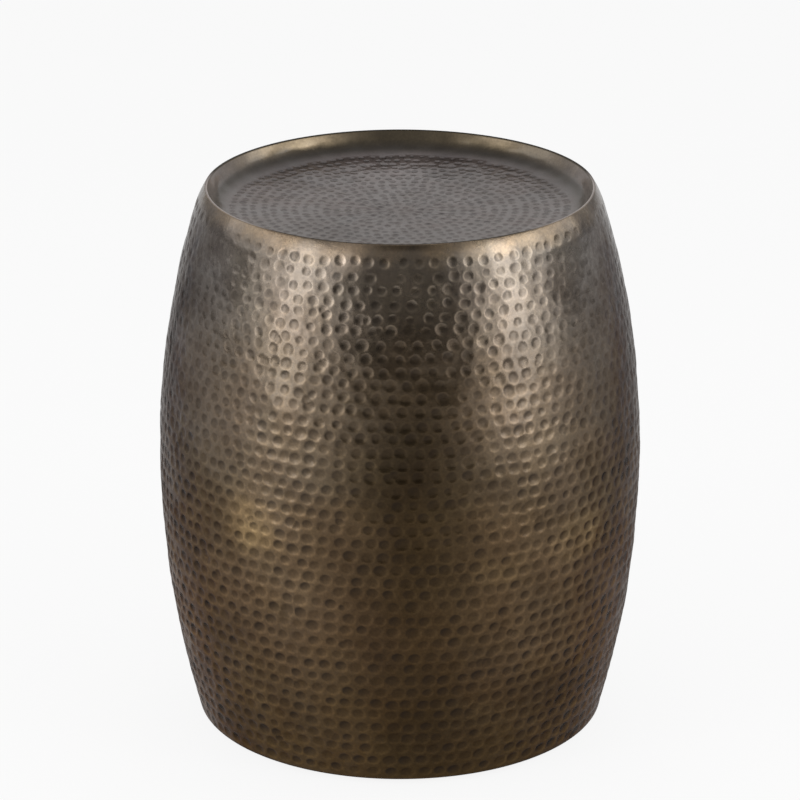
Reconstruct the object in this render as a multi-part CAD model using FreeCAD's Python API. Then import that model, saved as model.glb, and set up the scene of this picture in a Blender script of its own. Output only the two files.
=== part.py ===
"""Drum side table: a hammered sheet-metal barrel with a welded dish for its top.

Millimetres, +Z up. The origin is on the floor, on the barrel's axis. Every sheet is a section in the
XZ plane spun about Z. The barrel is two spun shells lapped at the belly, the dish is welded into the
mouth, and the barrel stands on glides screwed through a ring inside its in-turned foot.
"""
import FreeCAD, Part
import math
import os

# Barrel
HEIGHT = 460.0              # floor to rim
SHEET = 1.2                 # wall of both shells and the dish
RIM_RADIUS = 159.5          # outer radius of the ground rim
BELLY_HEIGHT = 227.0        # floor to the widest point, where the two shells meet
BELLY_SWELL = 41.0          # the belly stands this far out past the rim
FOOT_TUCK = 30.1            # and the side comes in by this much again at the plane of the foot
SHOULDER_HEIGHT = 19.0      # the side turns in faster over this height below the rim
SHOULDER_WIDTH = 8.8        # and comes in by this much there
FOOT_BEND_RADIUS = 3.5      # outer radius of the bend from the side into the foot flange

# Lap joint at the belly
LAP_HEIGHT = 12.0           # the lower shell's lip reaches this far up inside the upper shell
LAP_CLEARANCE = 0.15        # between the lip and the upper shell
JOGGLE_HEIGHT = 4.0         # the lip is stepped in over this height below the seam

# Dish
DISH_DEPTH = 20.0           # rim to the top of the dish floor
DISH_WALL_ANGLE = 72.0      # slope of the dish wall, in degrees from level
DISH_CORNER_RADIUS = 20.0   # inner radius between the wall and the floor
MITRE_SHARE = 0.75          # width of each sheet left on top of the ground rim, in sheet thicknesses
TRIM = 2.4                  # the shell and the dish stand this far past the rim before it is ground level

# Foot
RING_THICKNESS = 3.0
RING_WIDTH = 32.0
RING_CLEARANCE = 1.0        # between the ring and the inside of the foot bend
FLANGE_REACH = 2.0          # the foot flange reaches this far inwards past the ring

# Glides and their fasteners
GLIDE_COUNT = 4
GLIDE_START_ANGLE = 45.0    # degrees from +X to the first glide
GLIDE_RADIUS = 11.0
GLIDE_HEIGHT = 4.0
GLIDE_INSET = 20.0          # ring's outer edge to the glide's axis
GLIDE_EDGE = 0.8            # bevel round the glide's lower edge
SCREW_RADIUS = 2.0
SCREW_HEAD_RADIUS = 4.0
SCREW_RECESS = 1.1          # floor to the screw head's face
SCREW_CLEARANCE = 0.25      # round the shank and the head's edge
SCREW_PROTRUSION = 1.8      # past the nut
SOCKET_RADIUS = 1.25        # hex socket, centre to corner
SOCKET_DEPTH = 1.2
NUT_ACROSS_FLATS = 7.0
NUT_HEIGHT = 3.2
THREAD_CLEARANCE = 0.05

# Places worked out from the sizes above
belly_radius = RIM_RADIUS + BELLY_SWELL
foot_radius = belly_radius - FOOT_TUCK
head_top = SCREW_RECESS + SCREW_HEAD_RADIUS - SCREW_RADIUS
foot_top = GLIDE_HEIGHT + SHEET
ring_top = foot_top + RING_THICKNESS
nut_top = ring_top + NUT_HEIGHT
seam_radius = RIM_RADIUS - MITRE_SHARE * SHEET      # the dish and the shell meet here
dish_edge_radius = seam_radius - MITRE_SHARE * SHEET
floor_top = HEIGHT - DISH_DEPTH


def point(radius, height):
    return FreeCAD.Vector(radius, 0, height)


def on_circle(centre, radius, angle):
    return centre + point(radius * math.cos(angle), radius * math.sin(angle))


def line(start, end):
    return Part.makeLine(start, end)


def arc(centre, radius, start, end):
    """Edge about a centre in the section plane, from one angle to another, in radians from +X."""
    return Part.Arc(*(on_circle(centre, radius, a) for a in (start, (start + end) / 2, end))).toShape()


def angle_of(centre, target):
    return math.atan2(target.z - centre.z, target.x - centre.x)


def spin(edges):
    """Solid of revolution of a closed section."""
    face = Part.Face(Part.Wire(Part.sortEdges(edges)[0]))
    return face.revolve(FreeCAD.Vector(0, 0, 0), FreeCAD.Vector(0, 0, 1), 360)


def polygon(points):
    return [line(a, b) for a, b in zip(points, points[1:] + points[:1])]


def disc(radius, bottom, top):
    return Part.makeCylinder(radius, top - bottom, point(0, bottom))


def cone(bottom_radius, top_radius, bottom, top):
    return Part.makeCone(bottom_radius, top_radius, top - bottom, point(0, bottom))


def side_arc(end):
    """Centre and radius of the arc that is upright at the belly and passes through a point."""
    inset = belly_radius - end.x
    rise = end.z - BELLY_HEIGHT
    radius = (inset ** 2 + rise ** 2) / (2 * inset)
    return point(belly_radius - radius, BELLY_HEIGHT), radius


shoulder = point(RIM_RADIUS + SHOULDER_WIDTH, HEIGHT - SHOULDER_HEIGHT)
upper_centre, upper_radius = side_arc(shoulder)
shoulder_angle = angle_of(upper_centre, shoulder)

# The foot bend touches the lower side from inside and the plane of the foot from above
lower_centre, lower_radius = side_arc(point(foot_radius, GLIDE_HEIGHT))
bend_height = GLIDE_HEIGHT + FOOT_BEND_RADIUS
bend_reach = math.sqrt((lower_radius - FOOT_BEND_RADIUS) ** 2 - (bend_height - BELLY_HEIGHT) ** 2)
bend_centre = point(lower_centre.x + bend_reach, bend_height)
bend_angle = angle_of(lower_centre, bend_centre)

ring_outer = bend_centre.x - RING_CLEARANCE
ring_inner = ring_outer - RING_WIDTH
flange_inner = ring_inner - FLANGE_REACH
glide_circle = ring_outer - GLIDE_INSET


def shoulder_arc():
    """Centre, radius and end angle of the arc that carries the side on to the rim."""
    inward = (shoulder - upper_centre).normalize() * -1
    chord = point(RIM_RADIUS, HEIGHT) - shoulder
    radius = chord.Length ** 2 / (2 * chord.dot(inward))
    centre = shoulder + inward * radius
    return centre, radius, angle_of(centre, point(RIM_RADIUS, HEIGHT))


def upper_shell():
    """Upper half of the barrel, from the belly seam to the ground rim."""
    centre, radius, rim_angle = shoulder_arc()
    past_rim = rim_angle + TRIM / radius
    edges = []
    for inset in (0, SHEET):
        edges.append(arc(upper_centre, upper_radius - inset, 0, shoulder_angle))
        edges.append(arc(centre, radius - inset, shoulder_angle, past_rim))
    edges.append(line(on_circle(centre, radius, past_rim), on_circle(centre, radius - SHEET, past_rim)))
    edges.append(line(point(belly_radius, BELLY_HEIGHT), point(belly_radius - SHEET, BELLY_HEIGHT)))
    blank = spin(edges).common(disc(belly_radius, BELLY_HEIGHT, HEIGHT))
    return blank.cut(disc(seam_radius, BELLY_HEIGHT, HEIGHT))


def top_dish():
    """Dish with a flat floor, a round corner and a sloping wall, ground level with the rim."""
    slope = math.radians(DISH_WALL_ANGLE)
    corner_rise = DISH_CORNER_RADIUS * (1 - math.cos(slope))
    wall_rise = DISH_DEPTH - corner_rise
    wall_foot = dish_edge_radius - wall_rise / math.tan(slope)
    centre = point(wall_foot - DISH_CORNER_RADIUS * math.sin(slope), floor_top + DISH_CORNER_RADIUS)
    down = -math.pi / 2
    up_wall = point(math.cos(slope), math.sin(slope)) * (wall_rise / math.sin(slope) + TRIM)
    edges = []
    wall_ends = []
    for radius in (DISH_CORNER_RADIUS, DISH_CORNER_RADIUS + SHEET):
        foot = on_circle(centre, radius, down + slope)
        wall_ends.append(foot + up_wall)
        edges.append(line(point(0, centre.z - radius), point(centre.x, centre.z - radius)))
        edges.append(arc(centre, radius, down, down + slope))
        edges.append(line(foot, foot + up_wall))
    edges.append(line(*wall_ends))
    edges.append(line(point(0, floor_top), point(0, floor_top - SHEET)))
    return spin(edges).common(disc(seam_radius, floor_top - SHEET, HEIGHT))


def lower_shell():
    """Lower half of the barrel, with its lip at the belly and its flange and screw holes at the foot."""
    lip_radius = upper_radius - SHEET - LAP_CLEARANCE
    lip_angle = math.asin(LAP_HEIGHT / lip_radius)
    lip_outer, lip_inner = (point(upper_centre.x + lip_radius - inset, BELLY_HEIGHT) for inset in (0, SHEET))
    joggle_top = point(lip_inner.x, BELLY_HEIGHT - JOGGLE_HEIGHT)
    joggle_angle = -2 * JOGGLE_HEIGHT / lower_radius
    wall_radius = lower_radius - SHEET
    bend_inner = FOOT_BEND_RADIUS - SHEET
    down = -math.pi / 2
    edges = [
        arc(lower_centre, lower_radius, 0, bend_angle),
        arc(bend_centre, FOOT_BEND_RADIUS, bend_angle, down),
        line(point(bend_centre.x, GLIDE_HEIGHT), point(flange_inner, GLIDE_HEIGHT)),
        line(point(flange_inner, GLIDE_HEIGHT), point(flange_inner, foot_top)),
        line(point(flange_inner, foot_top), point(bend_centre.x, foot_top)),
        arc(bend_centre, bend_inner, down, bend_angle),
        arc(lower_centre, wall_radius, bend_angle, joggle_angle),
        line(on_circle(lower_centre, wall_radius, joggle_angle), joggle_top),
        line(joggle_top, lip_inner),
        arc(upper_centre, lip_radius - SHEET, 0, lip_angle),
        line(*(on_circle(upper_centre, lip_radius - inset, lip_angle) for inset in (SHEET, 0))),
        arc(upper_centre, lip_radius, lip_angle, 0),
        line(lip_outer, point(belly_radius, BELLY_HEIGHT)),
    ]
    return drilled(spin(edges), GLIDE_HEIGHT, foot_top)


def base_ring():
    """Flat ring inside the foot, which stiffens the flange and carries the nuts."""
    ring = disc(ring_outer, foot_top, ring_top).cut(disc(ring_inner, foot_top, ring_top))
    return drilled(ring, foot_top, ring_top)


def at_glides(shape):
    """Copies of a shape, one on the axis of each glide."""
    copies = []
    for n in range(GLIDE_COUNT):
        copy = shape.translated(point(glide_circle, 0))
        copy.rotate(FreeCAD.Vector(0, 0, 0), FreeCAD.Vector(0, 0, 1), GLIDE_START_ANGLE + 360 * n / GLIDE_COUNT)
        copies.append(copy)
    return copies


def drilled(solid, bottom, top):
    """The solid with a clearance hole for each glide's screw."""
    return solid.cut(at_glides(disc(SCREW_RADIUS + SCREW_CLEARANCE, bottom, top)))


def glide():
    """Nylon disc with a bevelled lower edge and a countersunk hole."""
    outline = polygon([
        point(0, 0),
        point(GLIDE_RADIUS - GLIDE_EDGE, 0),
        point(GLIDE_RADIUS, GLIDE_EDGE),
        point(GLIDE_RADIUS, GLIDE_HEIGHT),
        point(0, GLIDE_HEIGHT),
    ])
    head_hole = SCREW_HEAD_RADIUS + SCREW_CLEARANCE
    shank_hole = SCREW_RADIUS + SCREW_CLEARANCE
    body = spin(outline).cut(disc(head_hole, 0, SCREW_RECESS))
    return body.cut([cone(head_hole, shank_hole, SCREW_RECESS, head_top), disc(shank_hole, 0, GLIDE_HEIGHT)])


def hexagon(corner_radius, bottom, top):
    corners = [point(corner_radius, bottom)]
    for n in range(1, 6):
        turn = math.radians(60 * n)
        corners.append(FreeCAD.Vector(corner_radius * math.cos(turn), corner_radius * math.sin(turn), bottom))
    return Part.Face(Part.makePolygon(corners + corners[:1])).extrude(FreeCAD.Vector(0, 0, top - bottom))


def screw():
    """Countersunk screw, head down in the glide, with a hex socket."""
    head = cone(SCREW_HEAD_RADIUS, SCREW_RADIUS, SCREW_RECESS, head_top)
    solid = head.fuse(disc(SCREW_RADIUS, head_top, nut_top + SCREW_PROTRUSION)).removeSplitter()
    return solid.cut(hexagon(SOCKET_RADIUS, SCREW_RECESS, SCREW_RECESS + SOCKET_DEPTH))


def nut():
    """Hex nut welded on top of the base ring."""
    blank = hexagon(NUT_ACROSS_FLATS / math.sqrt(3), ring_top, nut_top)
    return blank.cut(disc(SCREW_RADIUS + THREAD_CLEARANCE, ring_top, nut_top))


def save(name, shape):
    shape.exportStep(f"parts/{name}.step")


os.makedirs("parts", exist_ok=True)
save("top_dish", top_dish())
save("upper_shell", upper_shell())
save("lower_shell", lower_shell())
save("base_ring", base_ring())
for number, foot_glide in enumerate(at_glides(glide()), 1):
    save(f"foot_glide_{number}", foot_glide)
save("glide_screws", Part.makeCompound(at_glides(screw())))
save("weld_nuts", Part.makeCompound(at_glides(nut())))
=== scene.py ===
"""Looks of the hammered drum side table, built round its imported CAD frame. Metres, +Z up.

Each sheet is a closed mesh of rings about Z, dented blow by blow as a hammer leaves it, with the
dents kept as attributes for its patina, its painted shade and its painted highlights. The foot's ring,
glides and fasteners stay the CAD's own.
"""

import math

import bpy
import numpy as np
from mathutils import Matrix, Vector


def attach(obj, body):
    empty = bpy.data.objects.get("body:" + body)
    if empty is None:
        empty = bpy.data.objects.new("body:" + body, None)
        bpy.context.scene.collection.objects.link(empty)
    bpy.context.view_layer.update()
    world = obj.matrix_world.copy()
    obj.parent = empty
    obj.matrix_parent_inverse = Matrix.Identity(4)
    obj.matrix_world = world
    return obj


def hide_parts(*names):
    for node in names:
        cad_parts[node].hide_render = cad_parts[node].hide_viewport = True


# Sheets of the barrel and the dish, as the part has them
HEIGHT = 0.460
SHEET = 0.0012
RIM_RADIUS = 0.1595
BELLY_HEIGHT = 0.227
BELLY_RADIUS = 0.2005
FOOT_RADIUS = 0.1704
FOOT_HEIGHT = 0.004
SHOULDER_HEIGHT = 0.019
SHOULDER_WIDTH = 0.0088
FOOT_BEND_RADIUS = 0.0035
LAP_HEIGHT = 0.012
LAP_CLEARANCE = 0.00015
JOGGLE_HEIGHT = 0.004
FLANGE_INNER = 0.13273
DISH_WALL_SLOPE = math.radians(62)
DISH_CORNER_RADIUS = 0.020
DISH_EDGE_DEPTH = 0.0178    # rim to the edge of the dish's floor
DISH_EDGE_SLOPE = math.radians(5.5)   # of the floor there, which sinks a little towards its middle
LAND = 0.0009               # width of each sheet on top of the rim
RIM_ROUNDING = 0.0011       # of the rim's edges, which wear rubs round

# Meshes
BODY_COLUMNS = 1440
DISH_COLUMNS = 1024         # halved towards the centre
FINE_STEP = 0.00085         # between the rings of a face that shows
COARSE_STEP = 0.003         # and of one that doesn't
BEAD_RINGS = 6              # round a rubbed edge
ARC_STEPS = 400             # of each arc of the side's outline, to look places up
BUMP_SHARE = 0.6            # of a dent's depth that shows on the sheet's other face
LIP_HEIGHT = 0.00004        # of the metal pushed up round a dent
FIRST_RING = 0.0008         # radius of the dish's innermost ring
FULL_RADIUS = 0.068         # of the dish, from which its rings have all the columns
MAP_GAP = 0.004             # round each quarter of a shell on its map
PLAIN_ROOM = 0.001          # that the map gives to a ring without dents
INNER_ROOM = 0.2 * COARSE_STEP  # and to one of the inner face
SHARP_ANGLE = math.radians(38)  # between faces whose edge isn't smoothed
ATTRIBUTES = "dent", "glint", "tone", "warm", "pale", "hue"     # of each vertex, for materials
BACK = math.pi / 2          # every ring starts at the back

# Swell of the side and of the dish: height, how often it is wound round Z, waves, length and seed
SIDE_SWELL = (
    (0.00030, 1, 9, 0.11, 3),
    (0.00010, 3, 9, 0.04, 4),
    (0.00004, 9, 14, 0.013, 5),
)
DISH_SWELL = (
    (0.00016, 1, 8, 0.03, 11),
    (0.00010, 3, 9, 0.012, 12),
)

# Blows on the side
FIRST_ROW = 0.0152          # rim to the first row, along the side
FIRST_BLOW = FIRST_ROW - 0.0016     # and to the nearest that a blow may stray
UPPER_PITCH = 0.01071       # between the rows of the upper half
LOWER_PITCH = 0.01124
LAST_ROW = 0.006            # last row to the foot bend
BLOW_PITCH = 0.0131         # from blow to blow along a row
CROWDING = 0.0004           # how much closer they are where they crowd
CROWDED_HEIGHT = 0.29
CROWDED_BREADTH = 0.07
UPPER_DENT = 0.0041, 0.00048    # radius and depth under the rim
LOWER_DENT = 0.0046, 0.00060    # and from the belly down
CHANGE_TOP = 0.40           # height where the one begins to turn into the other
CHANGE_DROP = 0.17          # and the drop over which it does
ROW_BREADTH = 0.45 * LOWER_PITCH
ROW_SAG = 0.00012           # how far the metal along a row of blows sinks between its neighbours
ROW_JITTER = 0.0004         # of a row's place
BLOW_JITTER = 0.0006        # of a blow's place across its row
FAINT_BLOWS = 0.05          # share of the blows that are weak
DOUBLE_BLOWS = 0.04         # and of those with another beside them
DENT_CRISPNESS = 5.5        # of a dent's edge
STEEPNESS = 2.5             # of its wall: 2 is a round bowl, more is a flatter floor
RIDGE = 1.06, 0.14          # place and breadth of its lip, in its radii
GLINT = 0.98, 0.26          # and of a painted highlight along its edge
SHADE_CRESCENT = 0.85             # how much lighter a dent is painted on its lower right side than opposite: painted shade on its upper left
SHADE_CRESCENT_LEAN = math.radians(37)    # of that side, from straight down

# Where the patina is golden, and where it is paler as a painted highlight, or darker as painted shade if
# the share is below zero: degrees round from the front, height, half breadth, half height and share
WARM_PATCHES = (
    (-37, 0.224, 0.021, 0.022, 0.62),
    (24, 0.196, 0.022, 0.015, 0.22),
    (47, 0.205, 0.026, 0.018, 0.36),
    (118, 0.230, 0.030, 0.021, 0.60),
    (176, 0.208, 0.026, 0.018, 0.50),
    (-121, 0.236, 0.028, 0.020, 0.65),
)
PAINTED_LIGHT_PATCHES = (
    (2, 0.460, 0.042, 0.0045, -0.60),
    (1, 0.310, 0.050, 0.070, -0.25),
    (5, 0.17, 0.062, 0.21, -0.38),
    (-4, 0.424, 0.034, 0.028, 0.50),
    (-2, 0.25, 0.045, 0.045, -0.12),
    (38, 0.072, 0.075, 0.022, -0.18),
    (-6, 0.185, 0.070, 0.045, -0.14),
    (-60, 0.21, 0.045, 0.07, -0.15),
    (-62, 0.41, 0.030, 0.03, -0.12),
    (-82, 0.375, 0.068, 0.075, -0.42),
    (82, 0.375, 0.068, 0.075, -0.37),
    (-78, 0.290, 0.058, 0.035, -0.17),
    (80, 0.290, 0.058, 0.035, -0.15),
    (-45, 0.370, 0.025, 0.035, 0.18),
    (-52, 0.425, 0.022, 0.016, 0.26),
    (52, 0.427, 0.022, 0.018, 0.22),
    (35, 0.378, 0.022, 0.020, -0.14),
    (60, 0.230, 0.030, 0.030, -0.16),
    (-34, 0.070, 0.030, 0.060, -0.10),
    (14, 0.125, 0.060, 0.035, 0.08),
    (-54, 0.456, 0.040, 0.012, -0.10),
    (54, 0.456, 0.040, 0.012, -0.13),
    (-13, 0.452, 0.016, 0.012, 0.75),
    (24, 0.450, 0.050, 0.018, 0.18),
    (-15, 0.448, 0.024, 0.018, 0.60),
    (30, 0.452, 0.035, 0.010, 0.32),
    (-47, 0.452, 0.025, 0.010, -0.18),
    (-33, 0.410, 0.030, 0.032, 0.20),
    (27, 0.410, 0.030, 0.034, 0.28),
    (28, 0.310, 0.040, 0.030, 0.45),
    (-30, 0.14, 0.078, 0.20, 0.38),
    (-29, 0.19, 0.045, 0.075, 0.18),
    (34, 0.15, 0.066, 0.10, 0.20),
    (66, 0.09, 0.050, 0.12, 0.46),
    (-66, 0.09, 0.050, 0.13, 0.69),
    (118, 0.12, 0.060, 0.17, 0.15),
    (146, 0.12, 0.080, 0.18, 0.30),
    (-150, 0.12, 0.074, 0.18, 0.20),
    (-112, 0.13, 0.066, 0.17, 0.25),
    (178, 0.20, 0.060, 0.20, -0.20),
)

# Where it is browner, or greyer if the share is below zero, and where the blows are fainter
HUE_PATCHES = (
    (4, 0.25, 0.055, 0.19, 1.0),
    (-62, 0.30, 0.050, 0.18, -0.8),
    (62, 0.30, 0.052, 0.18, -0.8),
    (-68, 0.08, 0.065, 0.10, 1.0),
    (68, 0.08, 0.060, 0.10, 0.8),
    (-74, 0.43, 0.060, 0.05, -0.7),
    (74, 0.43, 0.060, 0.05, -0.7),
    (150, 0.25, 0.060, 0.19, 0.7),
    (-140, 0.25, 0.060, 0.19, 0.6),
)
FAINT_PATCHES = (
    (-68, 0.37, 0.062, 0.095, 0.50),
    (68, 0.37, 0.062, 0.095, 0.50),
    (-62, 0.445, 0.060, 0.035, 0.42),
    (62, 0.445, 0.060, 0.035, 0.45),
    (-46, 0.415, 0.030, 0.035, 0.25),
    (-54, 0.445, 0.030, 0.020, 0.30),
    (46, 0.388, 0.035, 0.05, 0.38),
    (165, 0.37, 0.062, 0.095, 0.40),
)

# Blows on the dish
RING_PITCH = 0.0086
RING_DENT_RADIUS = 0.0029
RING_DENT_DEPTH = 0.00040

# Where the dish's wall is rubbed to gold, where a painted sheen makes its left and right ends greyer and
# lighter, and where a painted
# highlight makes them paler: degrees round from the front, half breadth in degrees and share
GOLD_ARCS = (
    (215, 12, 1.50),
    (226, 8, 0.25),
    (200, 6, 0.25),
    (147, 10, 0.60),
    (120, 12, 0.15),
    (20, 22, 0.50),
    (-35, 24, 0.60),
)
GOLD_ELSEWHERE = 0.06
PAINTED_SHEEN_ARCS = (
    (262, 26, 1.0),
    (96, 27, 1.0),
)
PAINTED_HIGHLIGHT_ARCS = (
    (262, 20, 0.80),
    (100, 20, 0.85),
    (228, 14, 0.35),
)
PALE_ABOVE = 0.4485         # height from which these are seen

# Where its floor is paler: degrees round from the front, radius, half breadth and share
PALE_FLOOR = (
    (0, 0.0, 0.030, -0.10),
    (-42, 0.085, 0.045, -0.22),
    (15, 0.095, 0.050, -0.16),
    (195, 0.085, 0.048, 0.18),
    (180, 0.118, 0.030, 0.25),
)

# Lacquer over the bronze
LACQUER_ROUGHNESS = 0.19
SIDE_EDGE_TINT = 0.3, 0.28, 0.27, 1.0   # how far the bronze under it brightens seen along it
DISH_EDGE_TINT = 0.7, 0.66, 0.62, 1.0

# Studio
BRIGHT_ELEVATION = math.radians(35)     # the room is brightest behind the table and this high
LAMP_DISTANCE = 1.9
FLOOR_REACH = 12.0
FLOOR_GLOW = 0.88           # of the floor where the camera or a reflection sees it
CAMERA_LENS = 177.65
CAMERA_DISTANCE = 3.2917
CAMERA_ELEVATION = math.radians(20.28)
CAMERA_TARGET = 0.2721      # height that it looks at

seam_radius = RIM_RADIUS - LAND
random = np.random.default_rng(7)


# ---------------- outlines

def on_circle(centre, radius, angle):
    return np.array([centre[0] + radius * np.cos(angle), centre[1] + radius * np.sin(angle)])


def on_arc(centre, radius, angles):
    return [on_circle(centre, radius, angle) for angle in angles]


def column_angles(columns):
    return BACK + 2 * math.pi * np.arange(columns) / columns


def side_arc(end):
    """Centre and radius of the arc that is upright at the belly and passes through a point."""
    inset = BELLY_RADIUS - end[0]
    radius = (inset ** 2 + (end[1] - BELLY_HEIGHT) ** 2) / (2 * inset)
    return np.array([BELLY_RADIUS - radius, BELLY_HEIGHT]), radius


def angle_of(centre, target):
    return math.atan2(target[1] - centre[1], target[0] - centre[0])


shoulder = np.array([RIM_RADIUS + SHOULDER_WIDTH, HEIGHT - SHOULDER_HEIGHT])
upper_centre, upper_radius = side_arc(shoulder)
shoulder_angle = angle_of(upper_centre, shoulder)

inward = (upper_centre - shoulder) / upper_radius
chord = np.array([RIM_RADIUS, HEIGHT]) - shoulder
rim_arc_radius = chord @ chord / (2 * chord @ inward)
rim_arc_centre = shoulder + inward * rim_arc_radius
rim_angle = angle_of(rim_arc_centre, (RIM_RADIUS, HEIGHT))

lower_centre, lower_radius = side_arc((FOOT_RADIUS, FOOT_HEIGHT))
bend_height = FOOT_HEIGHT + FOOT_BEND_RADIUS
bend_reach = math.sqrt((lower_radius - FOOT_BEND_RADIUS) ** 2 - (bend_height - BELLY_HEIGHT) ** 2)
bend_centre = np.array([lower_centre[0] + bend_reach, bend_height])
bend_angle = angle_of(lower_centre, bend_centre)


class Outline:
    """A run of arcs in a section through Z, whose places are lengths from the first arc's start."""

    def __init__(self, *arcs):
        rows = []
        length = 0
        for centre, radius, start, end in arcs:
            angle = np.linspace(start, end, ARC_STEPS)
            along = length + radius * np.abs(angle - start)
            centres = np.broadcast_to(centre, (ARC_STEPS, 2))
            rows.append(np.column_stack([along, centres, np.full(ARC_STEPS, radius), angle]))
            length = along[-1]
        self.rows = np.concatenate(rows)
        self.ends = np.cumsum([radius * abs(end - start) for _, radius, start, end in arcs])
        self.length = length

    def normal(self, along):
        """Angle of the outward normal above level."""
        return np.interp(along, self.rows[:, 0], self.rows[:, 4])

    def points(self, along, inset=0):
        """Radius and height of the outline, moved in by an inset."""
        row = np.clip(np.searchsorted(self.rows[:, 0], along), 0, len(self.rows) - 1)
        centre, radius = self.rows[row, 1:3], self.rows[row, 3]
        angle = self.normal(along)
        return centre + (radius - inset)[:, None] * np.column_stack([np.cos(angle), np.sin(angle)])


side = Outline(
    (rim_arc_centre, rim_arc_radius, rim_angle, shoulder_angle),
    (upper_centre, upper_radius, shoulder_angle, 0),
    (lower_centre, lower_radius, 0, bend_angle),
)
belly_along = side.ends[1]

# The rubbed rim: a small arc from the side's slope up to level, and one from there to the dish's wall
bead_angle = math.asin((HEIGHT - RIM_ROUNDING - rim_arc_centre[1]) / (rim_arc_radius - RIM_ROUNDING))
bead_centre = on_circle(rim_arc_centre, rim_arc_radius - RIM_ROUNDING, bead_angle)
bead_end = rim_arc_radius * (rim_angle - bead_angle)
wall_bead_reach = RIM_ROUNDING * math.tan(DISH_WALL_SLOPE / 2)
wall_bead_centre = (seam_radius - LAND + wall_bead_reach, HEIGHT - RIM_ROUNDING)


# ---------------- hammer blows

class Hammered:
    """A sheet's face as a grid of rings and columns, and the blows that it has taken."""

    def __init__(self, along, radii, columns, shade_crescent=0.0):
        self.along = along
        self.shade_crescent = shade_crescent
        self.radii = radii
        self.columns = columns
        self.angle = column_angles(columns)
        values = np.zeros((6, len(along), columns))
        self.depth, self.dent, self.edge, self.glint, self.tone, self.sag = values

    def strike(self, along, angle, size, depth, tone, lean=0.0, stretch=1.0):
        """One dent, whose edge is crisp and a little proud where the metal was pushed aside."""
        reach = 2.2 * size * stretch
        first, last = np.searchsorted(self.along, (along - reach, along + reach))
        if first == last:
            return
        radii = self.radii[first:last]
        step = 2 * math.pi / self.columns
        half = min(self.columns // 2 - 1, int(reach / (max(radii.min(), reach / 3) * step)) + 2)
        middle = round((angle - BACK) / step)
        picks = np.arange(middle - half, middle + half + 1)
        turn = BACK + picks * step - angle
        radius = np.interp(along, self.along, self.radii)
        across = 2 * np.sqrt(radii * radius)[:, None] * np.sin(turn / 2)
        down = np.broadcast_to((self.along[first:last] - along)[:, None], across.shape)
        # Painted shade: each dent keeps all its darkening on its upper left side and less on its lower
        # right
        away = (down * math.cos(SHADE_CRESCENT_LEAN) + across * math.sin(SHADE_CRESCENT_LEAN)) / size
        kept = 1 - self.shade_crescent * np.clip(0.5 + 0.7 * away, 0, 1)
        across, down = (
            (across * math.cos(lean) + down * math.sin(lean)) / stretch,
            down * math.cos(lean) - across * math.sin(lean),
        )
        q = np.hypot(across, down) / size
        where = np.ix_(np.arange(first, last), picks % self.columns)
        sunk = depth * np.logaddexp(0, DENT_CRISPNESS * (1 - q ** STEEPNESS)) / DENT_CRISPNESS
        deeper = sunk > self.depth[where]
        self.depth[where] = np.where(deeper, sunk, self.depth[where])
        inside = np.clip(2.5 * (1 - q ** 2), 0, 1)
        self.dent[where] = np.where(deeper, kept * inside, self.dent[where])
        self.tone[where] = np.where(deeper, tone, self.tone[where])
        ridge = np.exp(-((q - RIDGE[0]) / RIDGE[1]) ** 2)
        self.edge[where] = np.maximum(self.edge[where], ridge)
        # Painted highlight along each dent's edge, strongest on its lower right side
        glint = np.exp(-((q - GLINT[0]) / GLINT[1]) ** 2) * np.clip(0.2 + 0.8 * away, 0, 1)
        self.glint[where] = np.where(deeper, glint, np.maximum(self.glint[where], glint))

    def sink_row(self, path, breadth, depth):
        """The shallow trough along a row of blows. Its path gives the place of each column's middle."""
        limits = path.min() - 2 * breadth, path.max() + 2 * breadth
        first, last = np.searchsorted(self.along, limits)
        off = (self.along[first:last, None] - path) / breadth
        self.sag[first:last] += depth * np.exp(-off ** 4)


def swelling(angle, along, layers):
    """Smooth irregular swell over a face that closes round Z."""
    swell = np.zeros(np.broadcast(angle, along).shape)
    for height, windings, count, length, seed in layers:
        source = np.random.default_rng(seed)
        waves = np.zeros_like(swell)
        for _ in range(count):
            turns = source.integers(1, 20)
            climb = source.normal(0, 2 * math.pi / length)
            start = source.uniform(0, 2 * math.pi)
            waves += np.sin(turns * (windings * angle) + climb * along + start)
        swell += height * (waves / math.sqrt(count))
    return swell


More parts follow.
